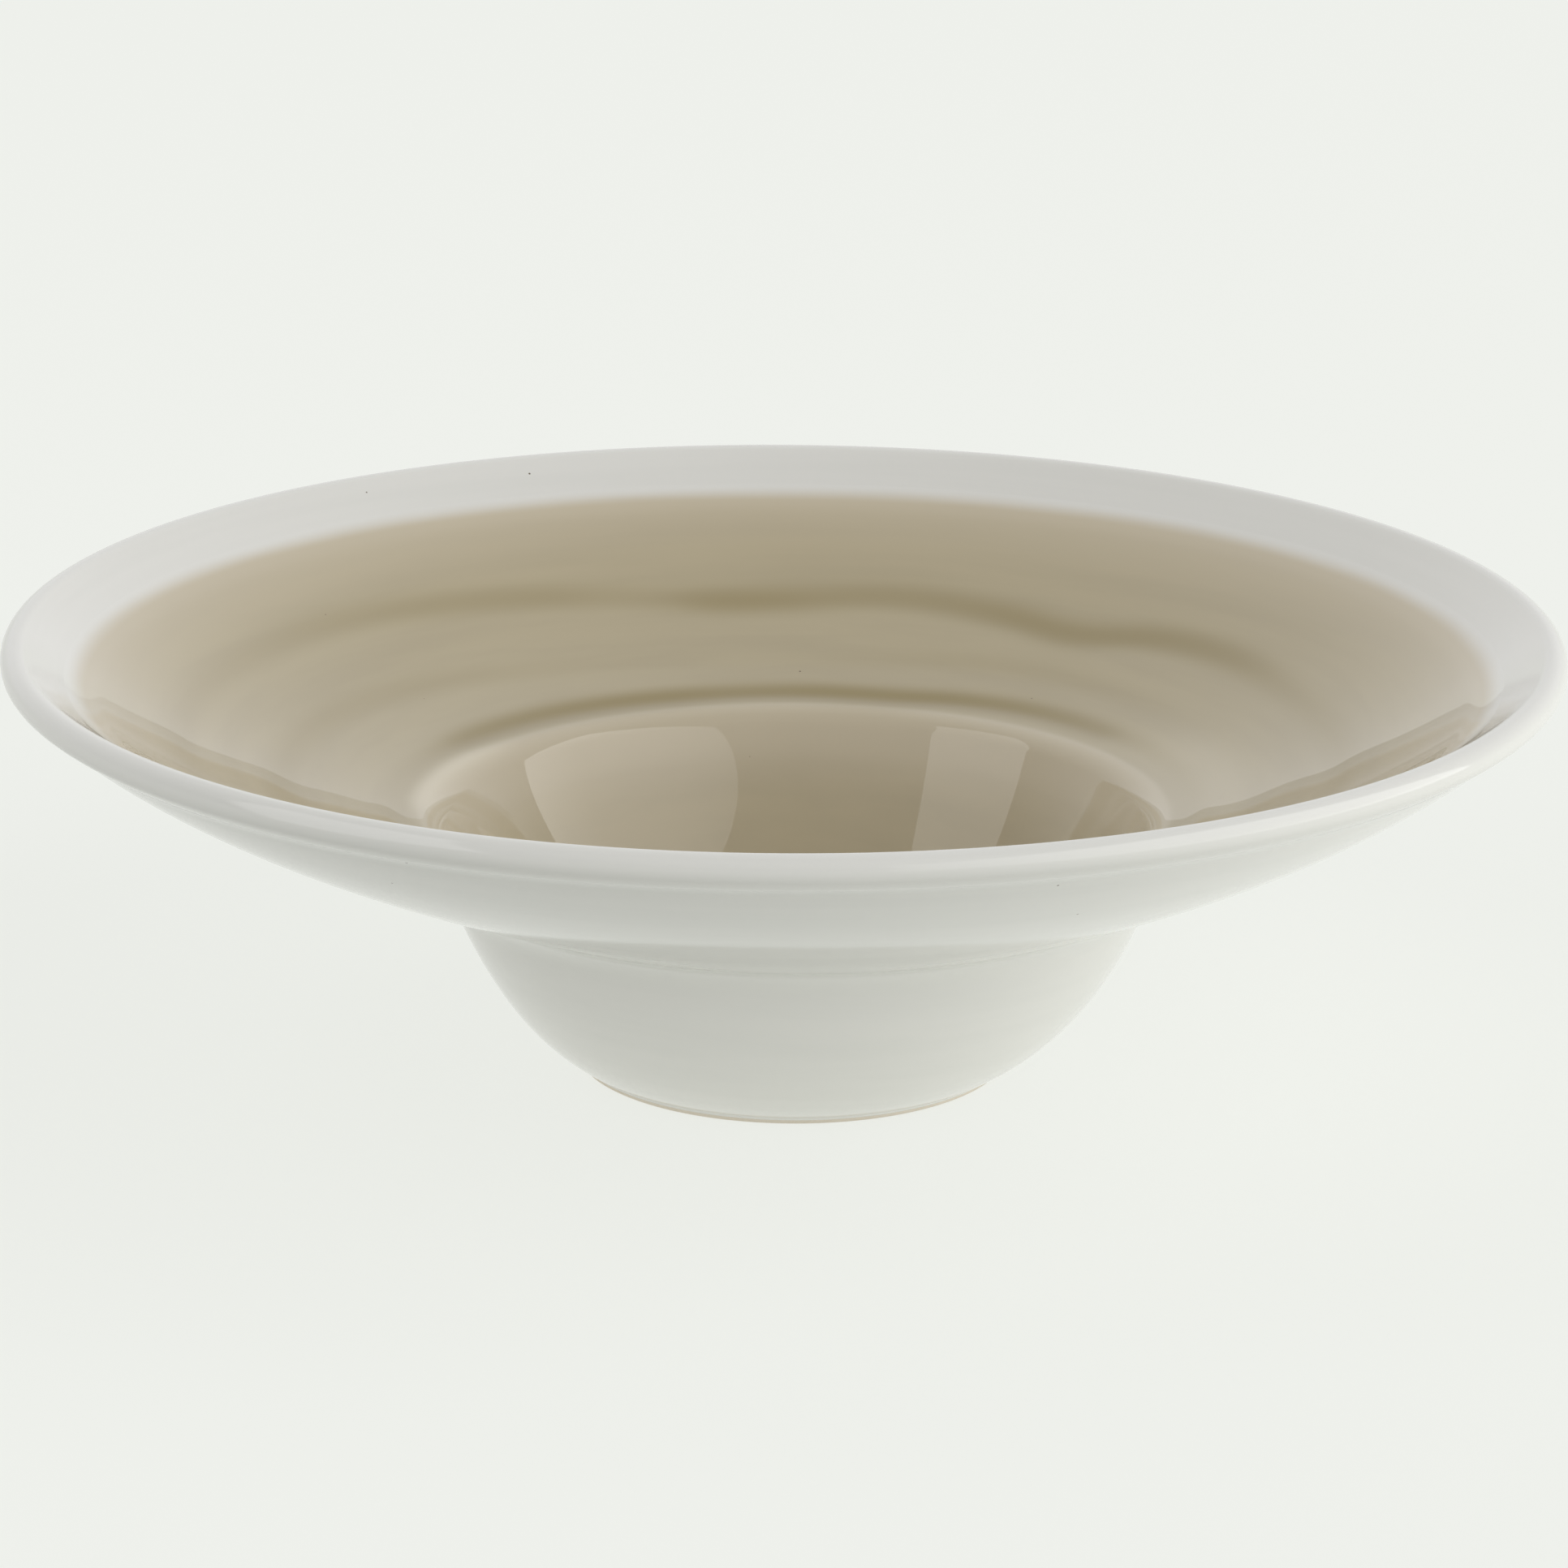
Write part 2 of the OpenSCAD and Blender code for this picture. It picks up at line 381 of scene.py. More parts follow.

# %% [markdown]
# ### Throwing rings
#
# A throwing ring is a shallow groove. Across, it is a smooth bell; round the plate, its radius and depth
# change. A ring could be a noise, but these have a place in the photograph, so their changes are drawn
# at degrees round the plate: 0 is the back, the left is negative and the right positive. The wander is in
# millimetres. The stain says how much wider than the groove the taupe gathers: at the brim it runs
# together from both sides.

# %% The rings
rings = {
    "Middle ring": {
        "radius": 100 * MM,
        "half width": 4.6 * MM,
        "depth": 0.6 * MM,
        "stain": 1,
        "wander": [(-180, 0), (-120, 4), (-70, 5), (-52, 5), (-35, 3), (-22, 0.5), (-10, -2.4), (0, -2.4),
                   (12, -1), (25, -3), (34, -5), (44, -2), (52, -1.2), (71, -3), (120, -3), (180, 0)],
        "strength": [(-180, 0.4), (-75, 0.4), (-50, 0.6), (-28, 0.68), (-17, 0.55), (-6, 0.86),
                     (8, 0.72), (18, 0.76), (35, 0.92), (52, 0.87), (75, 0.5), (180, 0.4)],
    },
    "Faint ring": {
        "radius": 84 * MM,
        "half width": 4.7 * MM,
        "depth": 0.3 * MM,
        "stain": 1,
        "wander": [(-180, 0), (-60, 3), (-25, -2), (0, -3.5), (25, -1), (60, -2), (180, 0)],
        "strength": [(-180, 0.5), (-60, 1), (-10, 0.5), (30, 0.9), (70, 0.5), (180, 0.5)],
    },
    "Brim ring": {
        "radius": 69 * MM,
        "half width": 2.7 * MM,
        "depth": 0.7 * MM,
        "stain": 1.55,
        "wander": [(-180, 0), (-44, 0.4), (-20, 0), (0, 0.2), (16, 0), (26, 1.2), (36, 1.8), (52, 1.6),
                   (180, 0)],
        "strength": [(-180, 0.2), (-80, 0.3), (-65, 0.55), (-47, 1.05), (-22, 1.1), (-8, 0.95),
                     (12, 1.1), (30, 1), (52, 0.75), (66, 0.35), (180, 0.2)],
    },
}
print("rings:", {name: f"{ring['depth'] / MM:.1f} mm deep" for name, ring in rings.items()})


# %% Group: one throwing ring
def ring_tree():
    """The cut of one ring at a radius, and the pool of taupe in it."""
    tree = bpy.data.node_groups.new("Throwing ring", "GeometryNodeTree")
    sizes = ("Radius", "Middle", "Half width", "Depth", "Stain")
    add_sockets(tree, "INPUT", [(size, "Float") for size in sizes])
    add_sockets(tree, "OUTPUT", [("Cut", "Float"), ("Pool", "Float")])
    given = add_node(tree, "NodeGroupInput").outputs
    result = add_node(tree, "NodeGroupOutput")
    away = calc(tree, "SUBTRACT", given["Radius"], given["Middle"])
    stained = calc(tree, "MULTIPLY", given["Half width"], given["Stain"])
    for output, half_width in (("Cut", given["Half width"]), ("Pool", stained)):
        here = calc(tree, "MULTIPLY", bell(tree, away, half_width), given["Depth"])
        feed(tree, result.inputs[output], here)
    return tree


throwing_ring = ring_tree()
print("group:", throwing_ring.name)

# %% [markdown]
# A Float Curve node holds what was drawn. It runs from 0 to 1, so the degrees are turned into
# shares of a turn that starts and ends at the front.

# %% All rings together
FULL_TURN = 360


def float_curve(tree, share, points):
    """A Float Curve node drawn smoothly through points. Returns its output."""
    node = add_node(tree, "ShaderNodeFloatCurve")
    feed(tree, node.inputs["Value"], share)
    node.mapping.use_clip = False
    drawn = node.mapping.curves[0].points
    drawn[0].location = points[0]
    drawn[1].location = points[-1]
    for point in points[1:-1]:
        drawn.new(*point)
    for point in drawn:
        point.handle_type = "AUTO"
    node.mapping.update()
    return node.outputs[0]


def around(points, scale=1):
    """Points at degrees from the back, as points of a Float Curve."""
    return [((degrees + HALF) / FULL_TURN, value * scale) for degrees, value in points]


def all_rings(tree, given, radius, turn):
    """The cut of all rings at each point, and their pool of taupe, in metres."""
    cut = 0.0
    pool = 0.0
    for name, ring in rings.items():
        wander = float_curve(tree, turn, around(ring["wander"], MM))
        strength = float_curve(tree, turn, around(ring["strength"]))
        group = add_node(tree, "GeometryNodeGroup", node_tree=throwing_ring)
        feed(tree, group.inputs["Radius"], radius)
        feed(tree, group.inputs["Middle"], calc(tree, "ADD", given[f"{name} radius"], wander))
        feed(tree, group.inputs["Half width"], given[f"{name} half width"])
        feed(tree, group.inputs["Depth"], calc(tree, "MULTIPLY", given[f"{name} depth"], strength))
        feed(tree, group.inputs["Stain"], ring["stain"])
        cut = calc(tree, "ADD", group.outputs["Cut"], cut)
        pool = calc(tree, "ADD", group.outputs["Pool"], pool)
    return cut, pool


print("back of the plate on a Float Curve:", around([(0, 1)]))

# %% [markdown]
# ### Thin spots
#
# In two places the taupe is paler. Along the brim on the left the glaze ran thin off the edge of the well,
# and a painted highlight lies over it; in a broad patch on the right the paler colour is painted light.
# They are bells across and drawn round the plate like the rings, but nothing is cut: the strength only
# goes to the colour.

# %% Where the taupe is paler, and painted highlights
thin_and_highlight_spots = [
    # Along the brim on the left: glaze run thin over the edge, with a painted highlight.
    {
        "radius": 65 * MM,
        "half width": 2.2 * MM,
        "strength": [(-180, 0), (-100, 0), (-84, 0.9), (-64, 0.9), (-46, 0), (180, 0)],
    },
    # A broad patch on the right of the rim: painted light.
    {
        "radius": 74 * MM,
        "half width": 9 * MM,
        "strength": [(-180, 0), (50, 0), (66, 0.22), (78, 0.34), (92, 0.2), (110, 0), (180, 0)],
    },
]


def thinning_and_highlights(tree, radius, turn):
    """How pale the taupe is at each point, from thin glaze and painted highlights, from 0 to 1."""
    total = 0.0
    for spot in thin_and_highlight_spots:
        away = calc(tree, "SUBTRACT", radius, spot["radius"])
        strength = float_curve(tree, turn, around(spot["strength"]))
        here = calc(tree, "MULTIPLY", bell(tree, away, spot["half width"]), strength)
        total = calc(tree, "ADD", here, total)
    return total


print("thin spots at radius in mm:", [round(spot["radius"] / MM) for spot in thin_and_highlight_spots])

# %% [markdown]
# ### From grid to plate
#
# The Mesh Grid node numbers its points row by row, so a point's row and column follow from its index.
# Sample Index then reads the profile at that row, and the column gives the angle.
#
# The bowl isn't quite under the rim: in the photograph it sits to the right, as it does when a pot is
# trimmed a little off centre. Two separate turned shapes would leave a seam, so one Float Curve over the
# height says how much of that drift each point takes.

# %% Rows, columns and places
half_column = 0.5
half_turn = 0.5
leaning = [(0, 0.62), (0.13, 0.87), (0.27, 1), (0.46, 0.95), (0.6, 0.65), (0.77, 0.2), (0.92, 0), (1, 0)]


def profile_grid(tree, given):
    """A grid with a row for each profile point. Returns its mesh, each point's row and its turn."""
    profile_size = add_node(tree, "GeometryNodeAttributeDomainSize", component="MESH")
    feed(tree, profile_size.inputs["Geometry"], given["Geometry"])
    columns = calc(tree, "ADD", given["Steps"], 1)
    grid = add_node(tree, "GeometryNodeMeshGrid")
    feed(tree, grid.inputs["Vertices X"], profile_size.outputs["Point Count"])
    feed(tree, grid.inputs["Vertices Y"], columns)
    index = add_node(tree, "GeometryNodeInputIndex").outputs[0]
    inside_row = calc(tree, "ADD", index, half_column)
    row = calc(tree, "FLOOR", calc(tree, "DIVIDE", inside_row, columns))
    column = calc(tree, "SUBTRACT", index, calc(tree, "MULTIPLY", row, columns))
    return grid.outputs["Mesh"], row, calc(tree, "DIVIDE", column, given["Steps"])


def looked_up(tree, given, row, kind, value):
    """A value of the profile, read at a row."""
    node = add_node(tree, "GeometryNodeSampleIndex", data_type=kind, domain="POINT")
    feed(tree, node.inputs["Geometry"], given["Geometry"])
    feed(tree, node.inputs["Value"], value)
    feed(tree, node.inputs["Index"], row)
    return node.outputs["Value"]


def turned_place(tree, given, radius, height, sunk, turn):
    """Where a point goes: out to its radius at its angle, with the drift of its height added."""
    angle = calc(tree, "MULTIPLY", calc(tree, "SUBTRACT", turn, half_turn), math.tau)
    across = calc(tree, "MULTIPLY", radius, calc(tree, "SINE", angle))
    lean = float_curve(tree, calc(tree, "DIVIDE", height, given["Lip height"], clamp=True), leaning)
    drift = calc(tree, "MULTIPLY", lean, given["Foot drift"])
    place = add_node(tree, "ShaderNodeCombineXYZ")
    feed(tree, place.inputs["X"], calc(tree, "ADD", across, drift))
    feed(tree, place.inputs["Y"], calc(tree, "MULTIPLY", radius, calc(tree, "COSINE", angle)))
    feed(tree, place.inputs["Z"], sunk)
    return place.outputs[0]


print("share of the drift at the foot:", leaning[0][1])

# %% [markdown]
# ### Closing and shading
#
# After the points have moved, the first and the last column lie on each other, and so do all points on
# the axis. Merge by Distance closes both. The faces are shaded smooth, apart from edges that turn by
# more than 60 degrees, such as the thin rim of a coat.

# %% Close, shade and paint
merge_distance = 0.001 * MM
sharp_from = math.radians(60)


def through(tree, geometry, node, **inputs):
    """Sends a geometry through one more node. Returns what comes out."""
    feed(tree, node.inputs["Geometry"], geometry)
    for name, value in inputs.items():
        feed(tree, node.inputs[name.replace("_", " ")], value)
    return node.outputs["Geometry"]


def stored(tree, geometry, name, value):
    """Keeps a value on the mesh under a name, for the materials."""
    node = add_node(tree, "GeometryNodeStoreNamedAttribute", data_type="FLOAT", domain="POINT")
    return through(tree, geometry, node, Name=name, Value=value)


def closed_and_painted(tree, geometry, material):
    """Merges the seam and the axis, shades the faces and gives them their material."""
    edge_angle = add_node(tree, "GeometryNodeInputMeshEdgeAngle").outputs["Unsigned Angle"]
    sharp = calc(tree, "GREATER_THAN", edge_angle, sharp_from)
    merging = add_node(tree, "GeometryNodeMergeByDistance")
    smoothing = add_node(tree, "GeometryNodeSetShadeSmooth", domain="FACE")
    sharpening = add_node(tree, "GeometryNodeSetShadeSmooth", domain="EDGE")
    realizing = add_node(tree, "GeometryNodeRealizeInstances")
    painting = add_node(tree, "GeometryNodeSetMaterial")
    geometry = through(tree, geometry, merging, Distance=merge_distance)
    geometry = through(tree, geometry, smoothing)
    geometry = through(tree, geometry, sharpening, Selection=sharp, Shade_Smooth=False)
    geometry = through(tree, geometry, realizing)
    return through(tree, geometry, painting, Material=material)


print(f"points closer than {merge_distance / MM} mm become one")

# %% [markdown]
# ### The whole tree
#
# The steps come together here. The sizes are named inputs of the tree, so that they can also be tried
# out by hand in the modifier's panel.

# %% The tree that turns a profile
ring_sizes = ("radius", "half width", "depth")


def turning_tree():
    """Turns the object's own chain of points about Z, with the throwing rings cut as it goes."""
    tree = bpy.data.node_groups.new("Turned profile", "GeometryNodeTree")
    add_sockets(tree, "INPUT", [("Geometry", "Geometry"), ("Steps", "Int"), ("Material", "Material")])
    add_sockets(tree, "INPUT", [("Lip height", "Float"), ("Foot drift", "Float"), ("Taupe edge", "Float")])
    for name in rings:
        add_sockets(tree, "INPUT", [(f"{name} {size}", "Float") for size in ring_sizes])
    add_sockets(tree, "OUTPUT", [("Geometry", "Geometry")])
    given = add_node(tree, "NodeGroupInput").outputs

    mesh, row, turn = profile_grid(tree, given)
    position = add_node(tree, "GeometryNodeInputPosition").outputs[0]
    point = add_node(tree, "ShaderNodeSeparateXYZ")
    feed(tree, point.inputs[0], looked_up(tree, given, row, "FLOAT_VECTOR", position))
    radius = point.outputs["X"]
    height = point.outputs["Z"]
    ring_share = add_node(tree, "GeometryNodeInputNamedAttribute", data_type="FLOAT")
    feed(tree, ring_share.inputs["Name"], "ring_share")
    share = looked_up(tree, given, row, "FLOAT", ring_share.outputs["Attribute"])

    cut, pool = all_rings(tree, given, radius, turn)
    sunk = calc(tree, "SUBTRACT", height, calc(tree, "MULTIPLY", cut, share))
    mesh = stored(tree, mesh, "pool", calc(tree, "DIVIDE", pool, MM))
    # Paleness of the taupe: thin glaze with a painted highlight on the left brim, and painted light on the
    # right.
    mesh = stored(tree, mesh, "thin", thinning_and_highlights(tree, radius, turn))
    mesh = stored(tree, mesh, "inward", calc(tree, "SUBTRACT", given["Taupe edge"], radius))
    place = turned_place(tree, given, radius, height, sunk, turn)
    mesh = through(tree, mesh, add_node(tree, "GeometryNodeSetPosition"), Position=place)
    result = add_node(tree, "NodeGroupOutput")
    feed(tree, result.inputs["Geometry"], closed_and_painted(tree, mesh, given["Material"]))
    return tree


turned_profile = turning_tree()
print("turning tree:", len(turned_profile.nodes), "nodes")

# %% [markdown]
# ### A piece from a chain
#
# The chain becomes a mesh of points and edges, and the tree is put on it as a modifier. A script sets a
# modifier's input by the identifier of its socket, not by the name that the panel shows. The evaluated
# object is then made a plain mesh and the modifier removed, so that the mesh itself holds what is seen.


# %% A chain as a mesh
def chain_mesh(name):
    """A chain as points and edges, each point with its share of the rings."""
    points, shares = chains[name]
    mesh = bpy.data.meshes.new(name + "_profile")
    links = [(i, i + 1) for i in range(len(points) - 1)]
    mesh.from_pydata([(r, 0, z) for r, z in points], links, [])
    ring_share = mesh.attributes.new("ring_share", "FLOAT", "POINT")
    ring_share.data.foreach_set("value", shares.astype(np.float32))
    return mesh


print("chains to turn:", ", ".join(chains))

# %% Turn a chain
turn_steps = 192
foot_drift = 2.9 * MM


def turned_piece(name, material):
    """Turns a chain into a plain closed mesh that carries its material."""
    profile = chain_mesh(name)
    piece = bpy.data.objects.new(name, profile)
    scene.collection.objects.link(piece)
    modifier = piece.modifiers.new("turn", "NODES")
    modifier.node_group = turned_profile
    sizes = {
        "Steps": turn_steps,
        "Material": material,
        "Lip height": float(lip_centre[1]),
        "Foot drift": foot_drift,
        "Taupe edge": float(band_end[0]),
    }
    for ring_name, ring in rings.items():
        sizes |= {f"{ring_name} {size}": ring[size] for size in ring_sizes}
    for socket in turned_profile.interface.items_tree:
        if socket.in_out == "INPUT" and socket.name in sizes:
            modifier[socket.identifier] = sizes[socket.name]
    graph = bpy.context.evaluated_depsgraph_get()
    evaluated = piece.evaluated_get(graph)
    turned = bpy.data.meshes.new_from_object(evaluated, preserve_all_data_layers=True, depsgraph=graph)
    piece.modifiers.clear()
    piece.data = turned
    turned.name = name
    bpy.data.meshes.remove(profile)
    return piece


print(f"a step of {FULL_TURN / turn_steps:.2f} degrees, {foot_drift / MM:.1f} mm of drift")

# %% [markdown]
# ## Finishes
#
# Fired glaze is glass: clear gloss over a coloured body. The Principled BSDF does that with a low
# roughness, and what makes it look like pottery is the small unevenness: streaks that follow the wheel,
# a faint ripple in the gloss, and a few specks of iron. More than one finish uses each of them, so each
# is a node group, built once and placed in every material with its own values.

# %% Shader helpers
COLOUR_A = 6
COLOUR_B = 7
COLOUR_RESULT = 2


def shader_group(name, inputs, outputs):
    """An empty shader group with named numbers. Returns the tree, its inputs and its output node."""
    tree = bpy.data.node_groups.new(name, "ShaderNodeTree")
    add_sockets(tree, "INPUT", [(socket, "Float") for socket in inputs])
    add_sockets(tree, "OUTPUT", [(socket, "Float") for socket in outputs])
    return tree, add_node(tree, "NodeGroupInput").outputs, add_node(tree, "NodeGroupOutput")


def object_place(tree):
    """Object coordinates, which are metres in the frame of the plate."""
    return add_node(tree, "ShaderNodeTexCoord").outputs["Object"]


def noise(tree, place, scale, detail):
    """A Noise Texture. Returns its value, about 0.5 in the middle."""
    node = add_node(tree, "ShaderNodeTexNoise")
    feed(tree, node.inputs["Vector"], place)
    feed(tree, node.inputs["Scale"], scale)
    feed(tree, node.inputs["Detail"], detail)
    return node.outputs["Fac"]


def ramp(tree, value, low, high):
    """0 at low, 1 at high, and a soft S between. Returns the output."""
    node = add_node(tree, "ShaderNodeMapRange", interpolation_type="SMOOTHSTEP")
    feed(tree, node.inputs["Value"], value)
    feed(tree, node.inputs["From Min"], low)
    feed(tree, node.inputs["From Max"], high)
    return node.outputs["Result"]


def mix_colours(tree, share, first, second):
    """A colour between two. Returns the output."""
    node = add_node(tree, "ShaderNodeMix", data_type="RGBA")
    feed(tree, node.inputs["Factor"], share)
    feed(tree, node.inputs[COLOUR_A], first)
    feed(tree, node.inputs[COLOUR_B], second)
    return node.outputs[COLOUR_RESULT]


print("shader helpers:", ", ".join(helper.__name__ for helper in (noise, ramp, mix_colours)))

# %% [markdown]
# ### Streaks that follow the wheel
#
# On a wheel every unevenness is drawn out round the plate. A Wave Texture gives rings, but they are too
# regular. Here a noise is stretched: it changes fast along the profile, and slowly along the turn.

# %% Group: wheel streaks
axis_r = 1 * MM
streak_detail = 3


def wheel_streaks_group():
    """A noise that is drawn out round the axis."""
    tree, given, result = shader_group("Wheel streaks", ["Fineness", "Breaks"], ["Streak"])
    point = add_node(tree, "ShaderNodeSeparateXYZ")
    feed(tree, point.inputs[0], object_place(tree))
    x, y, z = point.outputs
    squares = [calc(tree, "MULTIPLY", side, side) for side in (x, y)]
    radius = calc(tree, "SQRT", calc(tree, "ADD", *squares))
    off_axis = calc(tree, "MAXIMUM", radius, axis_r)
    along = calc(tree, "ADD", radius, z)
    drawn_out = add_node(tree, "ShaderNodeCombineXYZ")
    feed(tree, drawn_out.inputs["X"], calc(tree, "MULTIPLY", along, given["Fineness"]))
    for axis, side in (("Y", x), ("Z", y)):
        facing = calc(tree, "DIVIDE", side, off_axis)
        feed(tree, drawn_out.inputs[axis], calc(tree, "MULTIPLY", facing, given["Breaks"]))
    streak = noise(tree, drawn_out.outputs[0], scale=1, detail=streak_detail)
    feed(tree, result.inputs["Streak"], streak)
    return tree


wheel_streaks = wheel_streaks_group()
print("group:", wheel_streaks.name)

# %% [markdown]
# ### Iron specks
#
# Grains of iron in the clay melt through the glaze as tiny dark dots. A Voronoi Texture scatters points
# in space, one in each cell, and a dot shows only where such a point happens to lie close to the
# surface. That gives few dots of different sizes, as on the plate.

# %% Group: iron specks
speck_core = 0.5


def iron_specks_group():
    """1 in a speck, 0 elsewhere."""
    tree, given, result = shader_group("Iron specks", ["Per metre", "Size"], ["Speck"])
    cells = add_node(tree, "ShaderNodeTexVoronoi")
    feed(tree, cells.inputs["Vector"], object_place(tree))
    feed(tree, cells.inputs["Scale"], given["Per metre"])
    away = calc(tree, "DIVIDE", cells.outputs["Distance"], given["Per metre"])
    core = calc(tree, "MULTIPLY", given["Size"], speck_core)
    outside_speck = ramp(tree, away, core, given["Size"])
    feed(tree, result.inputs["Speck"], calc(tree, "SUBTRACT", 1, outside_speck))
    return tree


iron_specks = iron_specks_group()
print("group:", iron_specks.name)

# %% [markdown]
# ### Ripple in the gloss
#
# Glaze is never quite level, so reflections in it are a little bent. The ripple is far too low to model,
# so it is a height for a Bump node. The same noise, much finer, makes the sandy grain of the clay.

# %% Group: glaze ripple
ripple_detail = 1


def glaze_ripple_group():
    """A soft height, from 0 to 1."""
    tree, given, result = shader_group("Glaze ripple", ["Per metre"], ["Height"])
    height = noise(tree, object_place(tree), scale=given["Per metre"], detail=ripple_detail)
    feed(tree, result.inputs["Height"], height)
    return tree


glaze_ripple = glaze_ripple_group()
print("group:", glaze_ripple.name)

# %% [markdown]
# ### What all finishes share
#
# Each material starts from its own Principled BSDF and places the groups in it. The two glazes have
# specks, ripple and the refraction of glass in common, so one function adds those to both.

# %% Material helpers
IRON = (0.16, 0.12, 0.08, 1)
glass_ior = 1.55
glaze_specks = {"per_metre": 70, "size": 0.28 * MM}
ripples_per_metre = 60
ripple_height = 0.03 * MM


def new_material(name):
    """A material with its Principled BSDF. Returns the material, its tree and the shader's inputs."""
    material = bpy.data.materials.new(name)
    material.use_nodes = True
    tree = material.node_tree
    return material, tree, tree.nodes["Principled BSDF"].inputs


def placed(tree, group, **values):
    """A group node in a material. Returns its outputs."""
    node = add_node(tree, "ShaderNodeGroup", node_tree=group)
    for name, value in values.items():
        feed(tree, node.inputs[name.replace("_", " ").capitalize()], value)
    return node.outputs


def bent_normal(tree, height, distance):
    """A normal bent by a height. Returns the output."""
    bump = add_node(tree, "ShaderNodeBump")
    feed(tree, bump.inputs["Height"], height)
    feed(tree, bump.inputs["Distance"], distance)
    return bump.outputs["Normal"]


def finish_glaze(tree, shader, colour):
    """Gives a glaze its colour with iron specks, its ripple and the refraction of glass."""
    speck = placed(tree, iron_specks, **glaze_specks)["Speck"]
    feed(tree, shader["Base Color"], mix_colours(tree, speck, colour, IRON))
    ripple = placed(tree, glaze_ripple, per_metre=ripples_per_metre)["Height"]
    feed(tree, shader["Normal"], bent_normal(tree, ripple, ripple_height))
    shader["IOR"].default_value = glass_ior


print(f"specks up to {2 * glaze_specks['size'] / MM:.2f} mm, ripple {ripple_height / MM:.2f} mm high")

# %% [markdown]
# ### White glaze
#
# A warm white, glossy, a little greyer in some streaks than in others. One plain colour would look like
# plastic, and a painted picture would not follow the wheel, so the streaks mix two whites.
#
# In the hollow of the neck a mirrored ray skips along the glaze again and again until the renderer gives
# it up, which leaves a thin dark line. Real glaze scatters a little light each time, so a ray that has
# been mirrored more than twice meets a rougher glaze here.

# %% Material: white glaze
WHITE = (0.79, 0.785, 0.745, 1)
WHITE_STREAK = (0.77, 0.767, 0.727, 1)
white_roughness = 0.08
mirrorings_kept_sharp = 2
roughness_after = 0.55


def white_glaze_material():
    """Two whites in streaks, glossy."""
    material, tree, shader = new_material("white glaze finish")
    streak = placed(tree, wheel_streaks, fineness=160, breaks=1.2)["Streak"]
    streaked = ramp(tree, streak, low=0.35, high=0.75)
    finish_glaze(tree, shader, mix_colours(tree, streaked, WHITE, WHITE_STREAK))
    mirrorings = add_node(tree, "ShaderNodeLightPath").outputs["Glossy Depth"]
    skipping = calc(tree, "GREATER_THAN", mirrorings, mirrorings_kept_sharp)
    roughness = calc(tree, "MULTIPLY_ADD", skipping, roughness_after, white_roughness)
    feed(tree, shader["Roughness"], roughness)
    return material


white_glaze = white_glaze_material()
print("material:", white_glaze.name)

# %% [markdown]
# ### Taupe glaze
#
# Below the lip the taupe thins to its edge, and the white shows through it. The shoulder of the well and
# the brim on the left are paler where the glaze runs thin over the edge, with a painted highlight on top;
# a broad painted patch of light makes the right of the rim paler. Where the taupe pools in the rings it
# turns darker and greener. All of that could be painted by hand, but the turning tree stored how far
# inside the edge each point is, how deep the rings are and where the paler spots lie, so the colour
# follows the shape. At the edge itself the streaks make the line between taupe and white a little uneven.

# %% Material: taupe glaze
TAUPE = (0.495, 0.426, 0.284, 1)
TAUPE_STREAK = (0.46, 0.395, 0.265, 1)
TAUPE_POOL = (0.33, 0.265, 0.13, 1)
# Pale taupe where the coat thins, also used as a painted highlight on the shoulder of the well.
TAUPE_THIN_AND_HIGHLIGHT = (0.62, 0.55, 0.42, 1)
# Paler taupe for the two spots: thin glaze under a painted highlight on the left, painted light on the
# right.
TAUPE_BREAK_AND_HIGHLIGHT = (0.7, 0.63, 0.48, 1)
taupe_roughness = 0.02
noise_middle = 0.5
edge_wobble = 1.5 * MM
# From the taupe's edge inwards: paler below the lip where the coat thins, and round the shoulder of the
# well partly thin glaze, partly a painted highlight.
thinness_and_highlight = [(0, 0.9), (0.03, 0.8), (0.06, 0.5), (0.09, 0.3), (0.14, 0.08), (0.2, 0), (0.452, 0),
            (0.474, 0.55), (0.492, 0.8), (0.542, 0.4), (0.6, 0.06), (1, 0)]


def attribute(tree, name):
    """A value that the turning tree stored on the mesh."""
    return add_node(tree, "ShaderNodeAttribute", attribute_name=name).outputs["Fac"]


def taupe_glaze_material():
    """Taupe that pales where it is thin and under painted highlights, darkens where it pools and ends in
    the white.
    """
    material, tree, shader = new_material("taupe glaze finish")
    streak = placed(tree, wheel_streaks, fineness=90, breaks=1.6)["Streak"]
    colour = mix_colours(tree, ramp(tree, streak, low=0.3, high=0.75), TAUPE, TAUPE_STREAK)
    inward = attribute(tree, "inward")
    way_in = calc(tree, "DIVIDE", inward, float(band_end[0]))
    # Paler below the lip where the taupe thins; at the shoulder of the well, thin glaze and a painted
    # highlight.
    colour = mix_colours(tree, float_curve(tree, way_in, thinness_and_highlight), colour, TAUPE_THIN_AND_HIGHLIGHT)
    # The two spots: thin glaze with a painted highlight on the left brim, and painted light on the right.
    colour = mix_colours(tree, attribute(tree, "thin"), colour, TAUPE_BREAK_AND_HIGHLIGHT)
    pooled = ramp(tree, attribute(tree, "pool"), low=0.05, high=0.75)
    colour = mix_colours(tree, pooled, colour, TAUPE_POOL)
    wobble = calc(tree, "MULTIPLY", calc(tree, "SUBTRACT", streak, noise_middle), edge_wobble)
    cover = ramp(tree, calc(tree, "ADD", inward, wobble), low=0.4 * MM, high=4.1 * MM)
    finish_glaze(tree, shader, mix_colours(tree, cover, WHITE, colour))
    shader["Roughness"].default_value = taupe_roughness
    return material


taupe_glaze = taupe_glaze_material()
print("material:", taupe_glaze.name)

